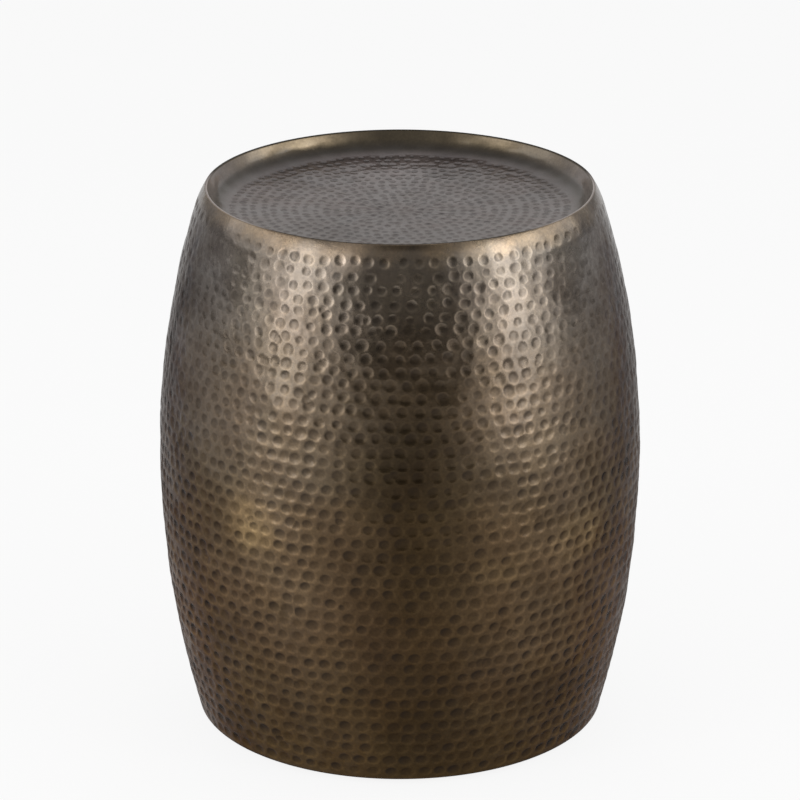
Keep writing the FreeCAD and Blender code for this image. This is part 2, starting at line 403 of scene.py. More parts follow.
def hammer_side(face):
    """Level rows of blows from under the rim down to the foot, none of them quite in line."""
    rows = list(np.arange(FIRST_ROW, belly_along - UPPER_PITCH / 3, UPPER_PITCH))
    rows += list(np.arange(rows[-1] + LOWER_PITCH, side.length - LAST_ROW, LOWER_PITCH))
    for row in rows:
        row += random.normal(0, ROW_JITTER)
        radius, height = side.points(np.array([row]))[0]
        low = np.clip((CHANGE_TOP - height) / CHANGE_DROP, 0, 1)
        row_radius, row_depth = np.array(UPPER_DENT) * (1 - low) + np.array(LOWER_DENT) * low
        row_depth *= random.uniform(0.85, 1.1)
        crowd = np.exp(-((height - CROWDED_HEIGHT) / CROWDED_BREADTH) ** 2)
        pitch = BLOW_PITCH - CROWDING * crowd
        sway = random.uniform(0.0003, 0.0010)
        turns = random.integers(2, 7)
        phase = random.uniform(0, 2 * math.pi)
        angle = random.uniform(0, 2 * math.pi)
        end = angle + 2 * math.pi
        path = row + sway * np.sin(turns * face.angle + phase)
        face.sink_row(path, ROW_BREADTH, ROW_SAG * (0.3 + 0.7 * low))
        while angle < end - 0.6 * pitch / radius:
            size = row_radius * np.clip(random.normal(1, 0.09), 0.75, 1.25)
            jitter = random.normal(0, BLOW_JITTER - 0.0002 * low)
            wander = sway * math.sin(turns * angle + phase) + jitter
            along = max(row + wander, FIRST_BLOW)
            depth = row_depth * (size / row_radius) * random.uniform(0.7, 1.2)
            if random.random() < FAINT_BLOWS:
                depth *= 0.45
            tone = random.uniform(-1, 1)
            lean = (random.uniform(0, math.pi) - math.pi / 2) * (1 - 0.85 * low)
            stretch = random.uniform(1.0, 1.14) + 0.14 * low
            face.strike(along, angle, size, depth, tone, lean, stretch)
            if random.random() < DOUBLE_BLOWS:
                turn = random.uniform(0, 2 * math.pi)
                beside = 1.1 * size
                along += beside * math.sin(turn)
                second = angle + beside * math.cos(turn) / radius
                face.strike(along, second, size * 0.9, depth * 0.9, random.uniform(-1, 1))
            angle += pitch * np.clip(random.normal(1, 0.105), 0.8, 1.35) / radius


def hammer_dish(face, floor_radius):
    """Rings of smaller blows round the middle."""
    radius = 0.0
    face.strike(0.0, 0.0, RING_DENT_RADIUS, RING_DENT_DEPTH, 0.0)
    while radius + RING_PITCH < floor_radius + 0.002:
        radius += RING_PITCH * random.uniform(0.96, 1.04)
        count = round(2 * math.pi * radius / RING_PITCH)
        start = random.uniform(0, 2 * math.pi)
        for n in range(count):
            angle = start + 2 * math.pi * (n + random.normal(0, 0.09)) / count
            size = RING_DENT_RADIUS * np.clip(random.normal(1, 0.08), 0.8, 1.2)
            depth = RING_DENT_DEPTH * (size / RING_DENT_RADIUS) * random.uniform(0.7, 1.15)
            place = radius + random.normal(0, 0.0005)
            tone = random.uniform(-1, 1)
            lean = random.uniform(0, math.pi)
            face.strike(place, angle, size, depth, tone, lean, random.uniform(1.0, 1.12))


# ---------------- meshes

class Rings:
    """Closed rings about Z, in the order of a sheet's section, joined into one closed mesh."""

    def __init__(self):
        self.points, self.values, self.room, self.hidden = [], [], [], []

    def add(self, radius, height, columns, room=0.0, values=None, hidden=False):
        """One ring. Radius and height are numbers, or one number for each column."""
        angle = column_angles(columns)
        self.points.append(np.column_stack([
            radius * np.cos(angle), radius * np.sin(angle), np.broadcast_to(height, angle.shape)]))
        self.values.append(np.zeros((columns, len(ATTRIBUTES))) if values is None else values)
        self.room.append(room)
        self.hidden.append(hidden)


def joined(first, last, counts, starts):
    """Faces between two rings with as many columns, twice or half as many. Corner: (vertex, column)."""
    a, b = counts[first], counts[last]
    k = np.arange(min(a, b))

    def corner(ring, column):
        step = max(a, b) // counts[ring]
        return np.stack([starts[ring] + column % counts[ring], column * step], -1)

    def faces(*corners):
        return np.stack([corner(ring, column) for ring, column in corners], 1)

    if a == b:
        return [faces((first, k), (last, k), (last, k + 1), (first, k + 1))]
    if a < b:
        return [
            faces((first, k), (last, 2 * k), (last, 2 * k + 1)),
            faces((first, k), (last, 2 * k + 1), (first, k + 1)),
            faces((first, k + 1), (last, 2 * k + 1), (last, 2 * k + 2)),
        ]
    return [
        faces((first, 2 * k), (last, k), (first, 2 * k + 1)),
        faces((last, k), (last, k + 1), (first, 2 * k + 1)),
        faces((first, 2 * k + 1), (last, k + 1), (first, 2 * k + 2)),
    ]


def shown(name, data):
    piece = bpy.data.objects.new(name, data)
    bpy.context.scene.collection.objects.link(piece)
    return piece


def build(name, rings, closed, lay_out, materials):
    """Mesh object of the rings. lay_out(rings, turns, corners of a face) places them on the map."""
    counts = [len(p) for p in rings.points]
    starts = np.concatenate([[0], np.cumsum(counts)])
    corners, sizes, maps, slots = [], [], [], []

    def keep(faces, turns, ring_of_corner, hidden):
        corners.append(faces.reshape(-1))
        sizes.append(np.full(len(faces), faces.shape[1]))
        maps.append(lay_out(ring_of_corner.reshape(-1), turns.reshape(-1), faces.shape[1]))
        slots.append(np.full(len(faces), int(hidden)))

    pairs = [(n, n + 1) for n in range(len(counts) - 1)]
    if closed:
        pairs.append((len(counts) - 1, 0))
    ring_of = np.repeat(np.arange(len(counts)), counts)
    for first, last in pairs:
        most = max(counts[first], counts[last])
        for faces in joined(first, last, counts, starts):
            vertices = faces[:, :, 0]
            turns = faces[:, :, 1] / most
            ring = ring_of[vertices]
            if closed and last == 0:
                ring = np.where(ring == 0, len(counts), ring)
            keep(vertices, turns, ring, rings.hidden[first])
    if not closed:
        for ring, flip in ((0, False), (len(counts) - 1, True)):
            k = np.arange(counts[ring])
            k = k[::-1] if flip else k
            turns = (k / counts[ring])[None]
            keep((starts[ring] + k)[None], turns, np.full((1, len(k)), ring), rings.hidden[ring])

    mesh = bpy.data.meshes.new(name)
    points = np.concatenate(rings.points)
    corners = np.concatenate(corners)
    sizes = np.concatenate(sizes)
    mesh.vertices.add(len(points))
    mesh.vertices.foreach_set("co", points.astype(np.float32).reshape(-1))
    mesh.loops.add(len(corners))
    mesh.loops.foreach_set("vertex_index", corners.astype(np.int32))
    mesh.polygons.add(len(sizes))
    loop_starts = np.concatenate([[0], np.cumsum(sizes)[:-1]])
    mesh.polygons.foreach_set("loop_start", loop_starts.astype(np.int32))
    mesh.polygons.foreach_set("material_index", np.concatenate(slots).astype(np.int32))
    mesh.update(calc_edges=True)
    mesh.validate()
    for n, attribute in enumerate(ATTRIBUTES):
        values = np.concatenate([v[:, n] for v in rings.values])
        data = mesh.attributes.new(attribute, "FLOAT", "POINT").data
        data.foreach_set("value", values.astype(np.float32))
    uv = mesh.uv_layers.new(name="OFBake")
    uv.uv.foreach_set("vector", np.concatenate(maps).astype(np.float32).reshape(-1))
    mesh.shade_smooth()
    mesh.set_sharp_from_angle(angle=SHARP_ANGLE)
    for m in materials:
        mesh.materials.append(m)
    return shown(name, mesh)


def quarters(rings):
    """Map layout of a shell: its quarters side by side, what doesn't show squeezed along the edge."""
    ends = np.concatenate([[0], np.cumsum(rings.room)])
    v = ends / ends[-1]

    def lay_out(ring, turn, corners):
        ring = ring.reshape(-1, corners)
        turn = turn.reshape(-1, corners)
        quarter = np.floor(4 * turn.mean(1, keepdims=True) % 4)
        within = 4 * turn - quarter
        u = (quarter % 2 + MAP_GAP + (1 - 2 * MAP_GAP) * within) / 2
        w = (quarter // 2 + MAP_GAP + (1 - 2 * MAP_GAP) * v[ring]) / 2
        return np.stack([u, w], -1).reshape(-1, 2)

    return lay_out


def even(start, end, step):
    return np.linspace(start, end, max(2, round(abs(end - start) / step) + 1))


# The side's rings, the same for both shells, with one at the belly where they meet
upper_along = even(bead_end, belly_along, FINE_STEP)
lower_along = even(belly_along, side.length, FINE_STEP)
side_along = np.concatenate([upper_along, lower_along[1:]])
side_face = Hammered(side_along, side.points(side_along)[:, 0], BODY_COLUMNS, SHADE_CRESCENT)
hammer_side(side_face)
turn_grid, along_grid = side_face.angle[None], side_along[:, None]
fade = np.clip((along_grid - 0.006) / 0.03, 0, 1) * np.clip((side.length - along_grid) / 0.02, 0, 1)
swell = swelling(turn_grid, along_grid, SIDE_SWELL) * fade


def patches(places):
    """The side's share of each listed place, soft at the sides and softer still at its ends."""
    total = np.zeros_like(side_face.depth)
    heights = side.points(side_along)[:, 1][:, None]
    for degrees, height, breadth, half_height, share in places:
        turn = turn_grid + math.pi / 2 - math.radians(degrees)
        across = BELLY_RADIUS * (np.mod(turn + math.pi, 2 * math.pi) - math.pi)
        inside = np.exp(-(across / breadth) ** 2 - ((heights - height) / half_height) ** 4)
        total += share * inside
    return total


firmness = 1 - patches(FAINT_PATCHES)
for values in (side_face.depth, side_face.dent, side_face.edge, side_face.glint):
    values *= firmness
lip = LIP_HEIGHT * side_face.edge * (side_face.dent == 0)
side_inset = side_face.depth + side_face.sag - lip - swell
side_values = (
    side_face.dent, side_face.glint, side_face.tone,
    patches(WARM_PATCHES), patches(PAINTED_LIGHT_PATCHES), patches(HUE_PATCHES),
)


def at_side(along):
    """Rows of the side's grid nearest to places along it."""
    return np.clip(np.searchsorted(side_along, along - FINE_STEP / 2), 0, len(side_along) - 1)


def add_outer(rings, along):
    for place, row in zip(along, at_side(along)):
        angle = side.normal(place)
        radius, height = side.points(np.array([place]))[0]
        inset = side_inset[row]
        rings.add(radius - inset * math.cos(angle), height - inset * math.sin(angle),
                  BODY_COLUMNS, FINE_STEP, np.column_stack([values[row] for values in side_values]))


def add_inner(rings, along, fade):
    """The sheet's other face, where each dent shows as a softer bump."""
    for place, row, share in zip(along, at_side(along), fade):
        angle = side.normal(place)
        radius, height = side.points(np.array([place]), SHEET)[0]
        inset = (BUMP_SHARE * side_face.depth[row] - swell[row]) * share
        rings.add(radius - inset * math.cos(angle), height - inset * math.sin(angle),
                  BODY_COLUMNS, INNER_ROOM, hidden=True)


def add_plain(rings, places, columns=BODY_COLUMNS, hidden=True):
    for radius, height in places:
        rings.add(radius, height, columns, PLAIN_ROOM, hidden=hidden)


def upper_shell(materials):
    rings = Rings()
    add_plain(rings, [(seam_radius, HEIGHT)], hidden=False)
    bead = np.linspace(math.pi / 2, bead_angle, BEAD_RINGS)[:-1]
    add_plain(rings, on_arc(bead_centre, RIM_ROUNDING, bead), hidden=False)
    add_outer(rings, upper_along)
    inside = even(belly_along, 0, COARSE_STEP)
    inner = side.points(inside, SHEET)
    inside = inside[inner[:, 0] > seam_radius]
    mitre_angle = math.acos((seam_radius - rim_arc_centre[0]) / (rim_arc_radius - SHEET))
    mitre = on_circle(rim_arc_centre, rim_arc_radius - SHEET, mitre_angle)
    add_inner(rings, inside, np.clip((belly_along - inside - 0.016) / 0.01, 0, 1))
    add_plain(rings, [mitre])
    return build("upper_shell", rings, True, quarters(rings), materials)


def lower_shell(materials):
    rings = Rings()
    add_outer(rings, lower_along)
    down = -math.pi / 2
    bend = np.linspace(bend_angle, down, 7)[1:]
    add_plain(rings, on_arc(bend_centre, FOOT_BEND_RADIUS, bend), hidden=False)
    add_plain(rings, [(FLANGE_INNER, FOOT_HEIGHT), (FLANGE_INNER, FOOT_HEIGHT + SHEET)])
    bend = np.linspace(down, bend_angle, 4)
    add_plain(rings, on_arc(bend_centre, FOOT_BEND_RADIUS - SHEET, bend))
    joggle_start = belly_along + 2 * JOGGLE_HEIGHT
    inside = even(side.length, joggle_start, COARSE_STEP)[1:]
    fade = np.clip((side.length - inside) / 0.02, 0, 1)
    add_inner(rings, inside, fade * np.clip((inside - joggle_start) / 0.01, 0, 1))
    lip_radius = upper_radius - SHEET - LAP_CLEARANCE
    lip_angle = math.asin(LAP_HEIGHT / lip_radius)
    lip_inner = on_circle(upper_centre, lip_radius - SHEET, 0)
    add_plain(rings, [
        (lip_inner[0], BELLY_HEIGHT - JOGGLE_HEIGHT),
        lip_inner,
        on_circle(upper_centre, lip_radius - SHEET, lip_angle),
        on_circle(upper_centre, lip_radius, lip_angle),
        on_circle(upper_centre, lip_radius, 0),
    ])
    return build("lower_shell", rings, True, quarters(rings), materials)


def dish_section():
    """The dish's upper face as a function, which gives the radius, height and slope at a length from
    the centre, and the lengths where its floor, its corner and its wall end."""
    corner = DISH_CORNER_RADIUS * (DISH_WALL_SLOPE - DISH_EDGE_SLOPE)
    corner_run = DISH_CORNER_RADIUS * (math.sin(DISH_WALL_SLOPE) - math.sin(DISH_EDGE_SLOPE))
    corner_rise = DISH_CORNER_RADIUS * (math.cos(DISH_EDGE_SLOPE) - math.cos(DISH_WALL_SLOPE))
    wall = (DISH_EDGE_DEPTH - corner_rise) / math.sin(DISH_WALL_SLOPE)
    floor_radius = seam_radius - LAND - wall * math.cos(DISH_WALL_SLOPE) - corner_run
    bottom = HEIGHT - DISH_EDGE_DEPTH - floor_radius * DISH_EDGE_SLOPE / 3

    def at(along, inset=0.0):
        out = np.minimum(along, floor_radius)
        bend = DISH_WALL_SLOPE - DISH_EDGE_SLOPE
        past = np.clip((along - floor_radius) / DISH_CORNER_RADIUS, 0, bend)
        up = np.clip(along - floor_radius - corner, 0, wall)
        slope = DISH_EDGE_SLOPE * (out / floor_radius) ** 2 + past
        turned = DISH_EDGE_SLOPE + past
        radius = out + DISH_CORNER_RADIUS * (np.sin(turned) - math.sin(DISH_EDGE_SLOPE))
        height = bottom + DISH_EDGE_SLOPE * out ** 3 / (3 * floor_radius ** 2)
        height = height + DISH_CORNER_RADIUS * (math.cos(DISH_EDGE_SLOPE) - np.cos(turned))
        radius = radius + up * math.cos(DISH_WALL_SLOPE) + inset * np.sin(slope)
        return radius, height + up * math.sin(DISH_WALL_SLOPE) - inset * np.cos(slope), slope

    return at, floor_radius, floor_radius + corner, floor_radius + corner + wall


def arcs(angle, places):
    """Each column's share of the places round the dish's wall."""
    total = np.zeros_like(angle)
    for degrees, breadth, share in places:
        off = np.mod(angle + math.pi / 2 - math.radians(degrees) + math.pi, 2 * math.pi) - math.pi
        total += share * np.exp(-(off / math.radians(breadth)) ** 2)
    return total


def dish_paleness(angle, radii, heights):
    """Share of the paler places: the wall's above its foot, a painted highlight, and the floor's."""
    total = np.clip((heights - PALE_ABOVE) / 0.002, 0, 1)[:, None] * arcs(angle, PAINTED_HIGHLIGHT_ARCS)
    for degrees, radius, breadth, share in PALE_FLOOR:
        turn = math.radians(degrees)
        x = radii[:, None] * np.cos(angle) - radius * math.sin(turn)
        y = radii[:, None] * np.sin(angle) + radius * math.cos(turn)
        total += share * np.exp(-(x ** 2 + y ** 2) / breadth ** 2)
    return total


def dish_columns(radius):
    """Fewer columns nearer the centre, so that the mesh stays even."""
    columns = DISH_COLUMNS
    while columns > 16 and radius < FULL_RADIUS * columns / DISH_COLUMNS:
        columns //= 2
    return columns


def top_dish(materials):
    at, floor_radius, corner_end, wall_end = dish_section()
    wall_top = wall_end - wall_bead_reach
    along = even(FIRST_RING, wall_top, FINE_STEP)
    face = Hammered(along, at(along)[0], DISH_COLUMNS)
    hammer_dish(face, floor_radius)
    angle, place = face.angle[None], along[:, None]
    still = np.clip((wall_end - place) / 0.008, 0, 1)
    flat = np.clip(place / 0.02, 0, 1)
    swell = swelling(angle, place, DISH_SWELL) * still * flat
    sink = face.depth - LIP_HEIGHT * face.edge * (face.dent == 0) - swell
    # Painted sheen: the wall's left and right ends are made greyer and lighter
    grey = np.clip(arcs(face.angle, PAINTED_SHEEN_ARCS), 0, 1)
    gold = (GOLD_ELSEWHERE + arcs(face.angle, GOLD_ARCS)) * (1 - 0.8 * grey)
    paleness = dish_paleness(face.angle, *at(along)[:2])

    rings = Rings()
    for n, length in enumerate(along[:-1]):
        radius, height, slope = at(length)
        columns = dish_columns(radius)
        pick = slice(None, None, DISH_COLUMNS // columns)
        inset = sink[n, pick]
        values = np.column_stack([
            face.dent[n, pick], face.glint[n, pick], face.tone[n, pick],
            gold[pick], paleness[n, pick], -grey[pick]])
        rings.add(radius + inset * math.sin(slope), height - inset * math.cos(slope),
                  columns, values=values)
    bead = np.linspace(math.pi / 2 + DISH_WALL_SLOPE, math.pi / 2, BEAD_RINGS)
    bead = on_arc(wall_bead_centre, RIM_ROUNDING, bead)
    add_plain(rings, [*bead, (seam_radius, HEIGHT)], DISH_COLUMNS, hidden=False)
    top_rings = len(rings.points)
    under = np.concatenate([
        even(wall_end, corner_end, COARSE_STEP),
        even(corner_end, floor_radius, COARSE_STEP)[1:],
        even(floor_radius, FIRST_RING, COARSE_STEP)[1:],
    ])
    beneath = [(length, *at(length, SHEET)) for length in under]
    beneath = [row for row in beneath if row[1] < seam_radius]
    edge_radius, edge_height, _ = at(wall_end, SHEET)
    edge_height -= (edge_radius - seam_radius) * math.tan(DISH_WALL_SLOPE)
    add_plain(rings, [(seam_radius, edge_height)], DISH_COLUMNS)
    end = wall_end + LAND
    lengths = [*along[:-1], *np.linspace(wall_top, end, BEAD_RINGS + 1), end]
    for length, radius, height, slope in beneath:
        columns = dish_columns(radius)
        row = min(np.searchsorted(along, length), len(along) - 1)
        pick = slice(None, None, DISH_COLUMNS // columns)
        bump = BUMP_SHARE * (face.depth[row, pick] - swell[row, pick])
        bump = bump * np.clip((wall_end - length) / 0.02, 0, 1)
        rings.add(radius + bump * math.sin(slope), height - bump * math.cos(slope),
                  columns, hidden=True)
        lengths.append(length)
    lengths = np.array(lengths)
    on_top = np.arange(len(lengths)) < top_rings

    def lay_out(ring, turn, corners):
        """The upper face fills most of the map and the lower face a corner of it."""
        ring = ring.reshape(-1, corners)
        turn = turn.reshape(-1, corners)
        top = on_top[ring].any(1, keepdims=True)
        scale = np.where(top, 0.425, 0.145) / end
        centre = np.where(top, 0.43, 0.85)
        spot = np.stack([np.cos(2 * math.pi * turn), np.sin(2 * math.pi * turn)], -1)
        return (centre[..., None] + (lengths[ring] * scale)[..., None] * spot).reshape(-1, 2)

    return build("top_dish", rings, False, lay_out, materials)


# ---------------- materials

class Nodes:
    """A node tree, with short ways to add nodes."""

    def __init__(self, tree):
        self.tree = tree

    def add(self, kind, inputs=(), **settings):
        node = self.tree.nodes.new(kind)
        for key, value in settings.items():
            setattr(node, key, value)
        for key, value in dict(inputs).items():
            if isinstance(value, bpy.types.NodeSocket):
                self.tree.links.new(value, node.inputs[key])
            else:
                node.inputs[key].default_value = value
        return node

    def math(self, operation, *values, clamp=False):
        node = self.add("ShaderNodeMath", dict(enumerate(values)), operation=operation, use_clamp=clamp)
        return node.outputs[0]

    def times(self, first, second, clamp=False):
        return self.math("MULTIPLY", first, second, clamp=clamp)

    def remap(self, value, low, high, new_low=0.0, new_high=1.0, **settings):
        return self.add("ShaderNodeMapRange", {
            "Value": value, "From Min": low, "From Max": high, "To Min": new_low, "To Max": new_high,
        }, **settings).outputs[0]


class Material(Nodes):
    """A node material, with the patterns and mixes that the finishes share."""

    def __init__(self, name):
        self.data = bpy.data.materials.new(name)
        self.data.use_nodes = True
        super().__init__(self.data.node_tree)
        self.tree.nodes.clear()
        self.output = self.tree.nodes.new("ShaderNodeOutputMaterial")
        self.where = self.add("ShaderNodeTexCoord").outputs["Object"]

    def place(self):
        return self.add("ShaderNodeSeparateXYZ", {"Vector": self.where}).outputs

    def attribute(self, name):
        return self.add("ShaderNodeAttribute", attribute_name=name).outputs["Fac"]

    def noise(self, scale, detail, roughness, distortion=0.0, stretch=None):
        where = self.where
        if stretch:
            where = self.add("ShaderNodeMapping", {"Vector": where, "Scale": stretch}).outputs[0]
        return self.add("ShaderNodeTexNoise", {
            "Vector": where, "Scale": scale, "Detail": detail, "Roughness": roughness,
            "Distortion": distortion}).outputs["Fac"]

    def mottle(self, low, high, *noise, limits=(0.3, 0.7)):
        """Something between two values, which follows a noise between its limits."""
        return self.remap(self.noise(*noise), *limits, low, high)

    def mix(self, share, first, second, blend="MIX"):
        inputs = {0: share, 6: first, 7: second}
        return self.add("ShaderNodeMix", inputs, data_type="RGBA", blend_type=blend).outputs[2]

    def vary(self, colour, low, high, *noise):
        """The colour multiplied by something between two factors, which follows a noise."""
        return self.mix(self.mottle(0, 1, *noise), self.mix(1.0, colour, low, "MULTIPLY"),
                        self.mix(1.0, colour, high, "MULTIPLY"))

    def brighten(self, colour, factor):
        scaling = {"Vector": colour, "Scale": factor}
        return self.add("ShaderNodeVectorMath", scaling, operation="SCALE").outputs[0]

    def ramp(self, value, stops):
        node = self.add("ShaderNodeValToRGB", {"Fac": value})
        elements = node.color_ramp.elements
        while len(elements) < len(stops):
            elements.new(0.5)
        for element, (place, colour) in zip(elements, stops):
            element.position = place
            element.color = colour
        return node.outputs["Color"]

    def bump(self, height, distance, strength=1.0, normal=None):
        inputs = {"Height": height, "Distance": distance, "Strength": strength}
        if normal:
            inputs["Normal"] = normal
        return self.add("ShaderNodeBump", inputs).outputs[0]

    def finish(self, **inputs):
        inputs = {name.replace("_", " "): value for name, value in inputs.items()}
        shader = self.add("ShaderNodeBsdfPrincipled", inputs)
        self.tree.links.new(shader.outputs[0], self.output.inputs["Surface"])
        return self.data


def rgb(red, green, blue):
    return red, green, blue, 1.0


def grey(level):
    return rgb(level, level, level)


def side_patina():
    """Brown bronze under lacquer, thick at the top and rubbed thin from the belly down; the bronze is
    paler at the top and darker lower down, the darkening painted shade, with painted highlights and shade
    in places.
    """
    m = Material("hammered_bronze")
    height = m.place()["Z"]
    level = m.math("ADD", height, m.mottle(-0.03, 0.03, 9, 3, 0.55))
    # Browner and darker towards the bottom; the darkening is painted shade
    colour = m.ramp(m.remap(level, 0, HEIGHT), [
        (0.0, rgb(0.050, 0.031, 0.0118)),
        (0.30, rgb(0.062, 0.040, 0.0215)),
        (0.52, rgb(0.083, 0.058, 0.034)),
        (0.75, rgb(0.102, 0.078, 0.055)),
        (0.96, rgb(0.118, 0.100, 0.085)),
    ])
    worn = m.mottle(0, 1, 26, 4, 0.6, 0.5, limits=(0.42, 0.62))
    rubbed = m.times(m.remap(level, 0.36, 0.44), worn)
    colour = m.mix(m.times(rubbed, 0.6), colour, rgb(0.150, 0.127, 0.103))
    brim = m.math("ADD", height, m.mottle(-0.006, 0.006, 40, 4, 0.6))
    worn = m.mottle(0.2, 0.9, 18, 3, 0.6, limits=(0.35, 0.6))
    colour = m.mix(m.times(m.remap(brim, 0.444, 0.456), worn), colour, rgb(0.265, 0.203, 0.140))
    worn = m.mottle(0.3, 1.0, 45, 4, 0.6, 0.5, limits=(0.3, 0.6))
    colour = m.mix(m.times(m.attribute("warm"), worn), colour, rgb(0.225, 0.158, 0.080))
    # Painted highlights and painted shade: lighter where the pale share is above zero, darker where below
    colour = m.brighten(colour, m.math("ADD", m.attribute("pale"), 1.0))
    hue = m.mix(m.remap(m.attribute("hue"), -1, 1), rgb(0.97, 1.0, 1.14), rgb(1.10, 1.0, 0.84))
    colour = m.mix(1.0, colour, hue, "MULTIPLY")
    colour = m.vary(colour, rgb(1.02, 0.99, 0.95), rgb(0.98, 1.01, 0.98), 14, 3, 0.55, 0.3)
    colour = m.vary(colour, rgb(0.78, 0.76, 0.74), rgb(1.22, 1.22, 1.20), 24, 5, 0.62, 0.4)
    colour = m.vary(colour, grey(0.84), rgb(1.16, 1.15, 1.12), 420, 3, 0.6)
    dent = m.attribute("dent")
    # Darker in the dents: the patina in the hollows, with painted shade on their upper left sides and
    # more of it lower down
    dark = m.times(dent, m.remap(height, 0.12, 0.34, 0.74, 0.58))
    dark = m.times(dark, m.remap(m.attribute("tone"), -1, 1, 0.4, 1.3))
    colour = m.mix(dark, colour, rgb(0.020, 0.014, 0.010))
    # Painted highlight: lighter along the lower right edge of each dent
    glint = m.times(m.attribute("glint"), m.mottle(0.30, 0.75, 55, 3, 0.6, limits=(0.36, 0.62)))
    colour = m.mix(glint, colour, m.mix(1.0, colour, rgb(1.70, 1.72, 1.74), "MULTIPLY"))
    # Painted reflection on the rim's top: dark in front, pale at its ends
    rim_top = m.remap(height, HEIGHT - 0.00018, HEIGHT - 0.00005)
    line, darkness = painted_rim_line(m)
    colour = m.mix(rim_top, colour, line)
    bare = m.remap(m.times(rim_top, darkness), 0, 1, 1, 0.1)
    lacquer = m.times(m.remap(level, 0.21, 0.42, 0.16, 0.75), bare)
    lacquer = m.times(lacquer, m.remap(m.attribute("pale"), -0.5, 0.5, 0.3, 1.7))
    lacquer = m.times(lacquer, m.remap(dent, 0, 1, 1.0, 0.5))
    lacquer = m.times(lacquer, m.mottle(0.7, 1.3, 30, 5, 0.65, 0.5))
    lacquer = m.times(lacquer, m.mottle(0.75, 1.25, 300, 3, 0.6), clamp=True)
    rough = m.math("ADD", m.remap(height, 0.10, 0.40, 0.47, 0.26), m.mottle(-0.04, 0.04, 35, 4, 0.6))
    normal = m.bump(m.noise(260, 4, 0.6, stretch=(1.0, 1.0, 3.5)), 0.00012, 0.4)
    normal = m.bump(m.noise(110, 3, 0.5), 0.0004, 0.4, normal)
    return m.finish(Base_Color=colour, Metallic=1.0, Roughness=rough, Normal=normal,
                    Specular_Tint=SIDE_EDGE_TINT, Coat_Weight=lacquer,
                    Coat_Roughness=LACQUER_ROUGHNESS, Coat_Normal=normal)


def inner_patina():
    m = Material("inner_bronze")
    colour = m.mix(m.mottle(0, 1, 14, 4, 0.6), rgb(0.045, 0.034, 0.026), rgb(0.10, 0.078, 0.058))
    rough = m.mottle(0.45, 0.6, 50, 3, 0.6)
    normal = m.bump(m.noise(200, 4, 0.6), 0.0003, 0.3)
    return m.finish(Base_Color=colour, Metallic=1.0, Roughness=rough, Normal=normal)


def painted_rim_line(m):
    """Painted reflection on the thin line along the rim, painted shade in front and a painted highlight
    at its ends, and its darkness.
    """
    place = m.place()
    sideways = m.math("ADD", m.math("ABSOLUTE", place["X"]), m.times(place["Y"], -0.35))
    pale = m.remap(sideways, 0.140, 0.158)
    colour = m.mix(pale, rgb(0.022, 0.017, 0.013), rgb(0.30, 0.25, 0.23))
    return colour, m.remap(pale, 0, 1, 1, 0)


def dish_patina():
    """Dark bronze under lacquer on the floor, and a browner wall with golden places, a painted sheen and
    painted highlights at its left and right ends, and a painted reflection along the rim.
    """
    m = Material("dish_bronze")
    height = m.place()["Z"]
    colour = m.mix(m.mottle(0, 1, 16, 4, 0.6, 0.5), rgb(0.0745, 0.058, 0.058), rgb(0.100, 0.080, 0.078))
    dent = m.attribute("dent")
    dark = m.times(dent, m.remap(m.attribute("tone"), -1, 1, 0.15, 0.45))
    colour = m.vary(colour, rgb(1.05, 0.98, 0.97), rgb(0.95, 1.01, 1.03), 18, 3, 0.6, 0.4)
    colour = m.mix(dark, colour, rgb(0.015, 0.018, 0.021))
    rise = m.math("ADD", height, m.mottle(-0.003, 0.003, 30, 4, 0.6))
    gold = m.times(m.attribute("warm"), m.remap(rise, 0.4505, 0.4555), clamp=True)
    gold = m.times(gold, m.mottle(0.6, 1.0, 30, 4, 0.6, 0.6, limits=(0.35, 0.6)))
    # Painted sheen: greyer and lighter at the wall's left and right ends
    brow = m.mix(m.remap(m.attribute("hue"), -1, 0), rgb(0.145, 0.122, 0.114), rgb(0.096, 0.074, 0.045))
    wall = m.mix(m.remap(height, 0.447, 0.453), rgb(0.042, 0.033, 0.025), brow)
    colour = m.mix(m.remap(height, 0.4425, 0.4460), colour, wall)
    colour = m.mix(gold, colour, rgb(0.380, 0.295, 0.190))
    colour = m.vary(colour, grey(0.86), rgb(1.14, 1.14, 1.12), 60, 4, 0.6, 0.4)
    colour = m.vary(colour, grey(0.88), grey(1.12), 500, 3, 0.6)
    # Paler where listed: a painted highlight at the wall's ends near the rim, and places on the floor
    paler = m.math("ADD", m.attribute("pale"), 1.0)
    colour = m.brighten(colour, paler)
    # Painted reflection on the rim's top: dark in front, pale at its ends
    rim_top = m.remap(height, HEIGHT - 0.55 * RIM_ROUNDING, HEIGHT - 0.2 * RIM_ROUNDING)
    line, darkness = painted_rim_line(m)
    colour = m.mix(rim_top, colour, line)
    lacquer = m.times(m.remap(dent, 0, 1, 0.75, 0.6), m.mottle(0.8, 1.2, 40, 4, 0.6), clamp=True)
    bare = m.remap(m.times(rim_top, darkness), 0, 1, 1.0, 0.2)
    lacquer = m.times(m.times(lacquer, paler), bare, clamp=True)
    normal = m.bump(m.noise(260, 4, 0.6), 0.00015, 0.4)
    return m.finish(Base_Color=colour, Metallic=1.0, Roughness=m.mottle(0.34, 0.44, 40, 4, 0.6),
                    Normal=normal, Specular_Tint=DISH_EDGE_TINT, Coat_Weight=lacquer,
                    Coat_Roughness=LACQUER_ROUGHNESS, Coat_Normal=normal)


def plated_steel(name, bright, dim):
    m = Material(name)
    colour = m.mix(m.mottle(0, 1, 90, 4, 0.6), dim, bright)
    rough = m.mottle(0.3, 0.45, 160, 3, 0.6)
    normal = m.bump(m.noise(700, 3, 0.6), 0.0001, 0.3)
    return m.finish(Base_Color=colour, Metallic=1.0, Roughness=rough, Normal=normal)


